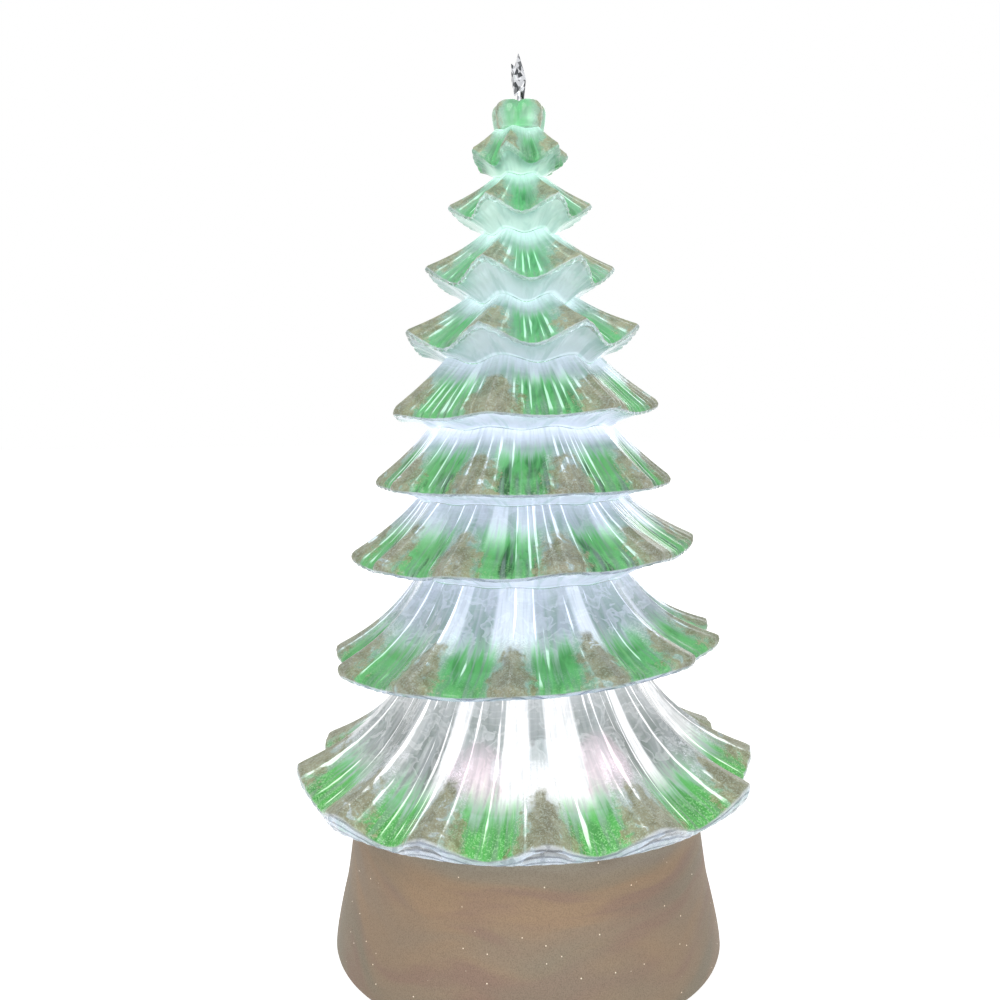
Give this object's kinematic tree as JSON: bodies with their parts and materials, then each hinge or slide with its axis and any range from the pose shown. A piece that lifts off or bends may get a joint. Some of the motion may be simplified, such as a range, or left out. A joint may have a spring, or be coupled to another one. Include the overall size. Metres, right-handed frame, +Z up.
{
  "type": "lighted acrylic christmas tree",
  "caption": "Lighted clear acrylic Christmas tree: fluted branch tiers stacked on a round glitter-painted base, a small chrome star on top and a battery-powered lamp below.",
  "frame": {"origin": "on the table, under the middle of the round base", "axes": "+Z up along the tree; the front faces -Y and the side to its right is +X"},
  "size_m": [0.1596, 0.1588, 0.3051],
  "materials": {
    "clear_acrylic": "gloss",
    "painted_housing": "glitter paint",
    "metallised_star": "polished",
    "black_plastic": "moulded",
    "white_plastic": "satin",
    "diffusing_lens": "frosted",
    "circuit_board": "solder mask",
    "lamp_chip": "gloss",
    "plated_steel": "plated",
    "cell_jacket": "satin",
    "foot_pad": "matte",
    "red_lead": "satin",
    "black_lead": "satin"
  },
  "bodies": {
    "root": {"crown_tuft": "clear_acrylic", "branch_tier_1": "clear_acrylic", "branch_tier_2": "clear_acrylic", "branch_tier_3": "clear_acrylic", "branch_tier_4": "clear_acrylic", "branch_tier_5": "clear_acrylic", "branch_tier_6": "clear_acrylic", "branch_tier_7": "clear_acrylic", "branch_tier_8": "clear_acrylic", "branch_tier_9": "clear_acrylic", "tree_floor_plate": "clear_acrylic", "base_shell": "painted_housing", "star_finial": "metallised_star", "base_plate": "black_plastic", "battery_tray": "black_plastic", "switch_body": "black_plastic", "led_reflector": "white_plastic", "led_lens": "diffusing_lens", "led_board": "circuit_board", "control_board": "circuit_board", "led_1": "lamp_chip", "led_2": "lamp_chip", "led_3": "lamp_chip", "positive_contact": "plated_steel", "negative_contact": "plated_steel", "front_link_contact": "plated_steel", "back_link_contact": "plated_steel", "plate_screw_1": "plated_steel", "plate_screw_2": "plated_steel", "plate_screw_3": "plated_steel", "plate_screw_4": "plated_steel", "tree_screw_1": "plated_steel", "tree_screw_2": "plated_steel", "tree_screw_3": "plated_steel", "battery_1": "cell_jacket", "battery_2": "cell_jacket", "battery_3": "cell_jacket", "foot_1": "foot_pad", "foot_2": "foot_pad", "foot_3": "foot_pad", "foot_4": "foot_pad", "positive_lead": "red_lead", "negative_lead": "black_lead"},
    "battery_door": {"battery_door": "black_plastic"},
    "switch_knob": {"switch_knob": "white_plastic"}
  },
  "joints": [
    {"name": "battery_door_hinge", "type": "hinge", "parent": "root", "child": "battery_door", "pos_m": [0, 0.03145, 0.0038], "axis": [1, 0, 0], "range_deg": [0, 90]},
    {"name": "switch_slide", "type": "slide", "parent": "root", "child": "switch_knob", "axis": [1, 0, 0], "range_m": [-0.002, 0.002]}
  ]
}
